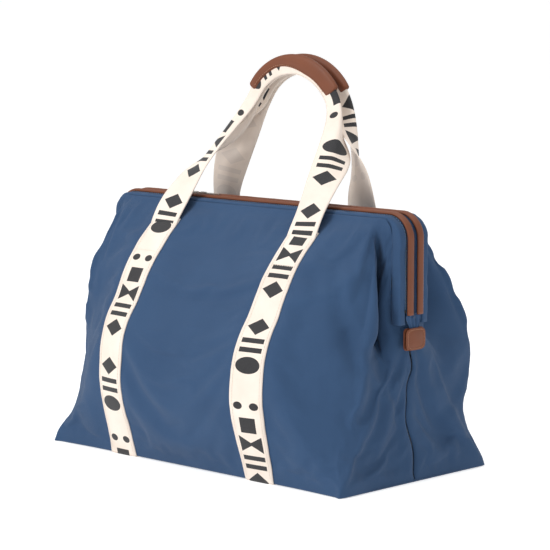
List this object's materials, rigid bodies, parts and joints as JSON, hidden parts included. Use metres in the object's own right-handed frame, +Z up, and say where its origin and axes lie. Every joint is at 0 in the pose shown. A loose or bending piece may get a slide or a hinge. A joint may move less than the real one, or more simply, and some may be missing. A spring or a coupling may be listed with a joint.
{
  "type": "diaper bag",
  "caption": "Weekender diaper bag with a hinged doctor-bag frame, two-way zip, leather piping and two webbing handles with leather grips.",
  "frame": {"origin": "on the floor plane, under the middle of the bag's base", "axes": "+Z up, +X along the bag's length and the zip, front face towards -Y"},
  "size_m": [0.551, 0.346, 0.5475],
  "materials": {
    "canvas": "plain-weave cotton canvas, indigo blue",
    "webbing": "ecru cotton webbing, 50 mm, woven black geometric motif on its outer face",
    "tan_leather": "smooth tan leatherette, stitched edge",
    "zip_tape": "woven polyester zip tape, blue",
    "zip_teeth": "dark blue nylon coil",
    "zip_metal": "nickel-plated zinc",
    "spring_steel": "flat spring steel, oiled",
    "rivet_steel": "zinc-plated",
    "board": "polypropylene sheet",
    "lining": "light polyester lining"
  },
  "bodies": {
    "bag": {"base_board": "board", "base_panel": "canvas", "base_strap_left": "webbing", "base_strap_right": "webbing", "front_panel_lower": "canvas", "front_panel_upper": "canvas", "front_slip_pocket": "lining", "front_strap_left_lower": "webbing", "front_strap_left_upper": "webbing", "front_strap_right_lower": "webbing", "front_strap_right_upper": "webbing", "left_hinge_rivet": "rivet_steel", "left_hinge_washer": "rivet_steel", "left_tab_inner": "tan_leather", "left_tab_outer": "tan_leather", "left_tab_stiffener": "board", "left_zip_tail": "zip_tape", "lining_floor": "lining", "lining_lower": "lining", "lining_upper_front": "lining", "lining_upper_rear": "lining", "rear_panel_lower": "canvas", "rear_panel_upper": "canvas", "rear_slip_pocket": "lining", "rear_strap_left_lower": "webbing", "rear_strap_left_upper": "webbing", "rear_strap_right_lower": "webbing", "rear_strap_right_upper": "webbing", "right_hinge_rivet": "rivet_steel", "right_hinge_washer": "rivet_steel", "right_tab_inner": "tan_leather", "right_tab_outer": "tan_leather", "right_tab_stiffener": "board", "right_zip_tail": "zip_tape"},
    "front_frame": {"front_frame_bar": "spring_steel", "front_frame_sleeve": "canvas", "front_piping": "tan_leather", "front_zip_tape": "zip_tape", "front_zip_teeth": "zip_teeth"},
    "rear_frame": {"rear_frame_bar": "spring_steel", "rear_frame_sleeve": "canvas", "rear_piping": "tan_leather", "rear_zip_tape": "zip_tape", "rear_zip_teeth": "zip_teeth"},
    "front_handle": {"front_grip_leather": "tan_leather", "front_grip_webbing": "webbing", "front_handle_web_left": "webbing", "front_handle_web_right": "webbing"},
    "rear_handle": {"rear_grip_leather": "tan_leather", "rear_grip_webbing": "webbing", "rear_handle_web_left": "webbing", "rear_handle_web_right": "webbing"},
    "left_slider": {"left_zip_slider": "zip_metal"},
    "left_pull": {"left_zip_pull": "zip_metal"},
    "right_slider": {"right_zip_slider": "zip_metal"},
    "right_pull": {"right_zip_pull": "zip_metal"}
  },
  "joints": [
    {"name": "front_frame_open", "type": "hinge", "parent": "bag", "child": "front_frame", "pos_m": [0, 0, 0.212], "axis": [1, 0, 0], "range_deg": [0, 50], "deforming": ["front_panel_upper", "front_strap_left_upper", "front_strap_right_upper", "lining_upper_front"]},
    {"name": "rear_frame_open", "type": "hinge", "parent": "bag", "child": "rear_frame", "pos_m": [0, 0, 0.212], "axis": [-1, 0, 0], "range_deg": [0, 50], "deforming": ["lining_upper_rear", "rear_panel_upper", "rear_strap_left_upper", "rear_strap_right_upper"]},
    {"name": "front_handle_fold", "type": "hinge", "parent": "front_frame", "child": "front_handle", "pos_m": [0, -0.064, 0.318], "axis": [1, 0, 0], "range_deg": [0, 120]},
    {"name": "rear_handle_fold", "type": "hinge", "parent": "rear_frame", "child": "rear_handle", "pos_m": [0, 0.064, 0.318], "axis": [-1, 0, 0], "range_deg": [0, 80]},
    {"name": "left_slider_travel", "type": "slide", "parent": "front_frame", "child": "left_slider", "axis": [-1, 0, 0], "range_m": [0, 0.095]},
    {"name": "right_slider_travel", "type": "slide", "parent": "front_frame", "child": "right_slider", "axis": [1, 0, 0], "range_m": [0, 0.34]},
    {"name": "left_pull_flip", "type": "hinge", "parent": "left_slider", "child": "left_pull", "pos_m": [-0.135, 0, 0.3525], "axis": [0, 1, 0], "range_deg": [0, 100]},
    {"name": "right_pull_flip", "type": "hinge", "parent": "right_slider", "child": "right_pull", "pos_m": [-0.115, 0, 0.3525], "axis": [0, -1, 0], "range_deg": [0, 100]}
  ]
}
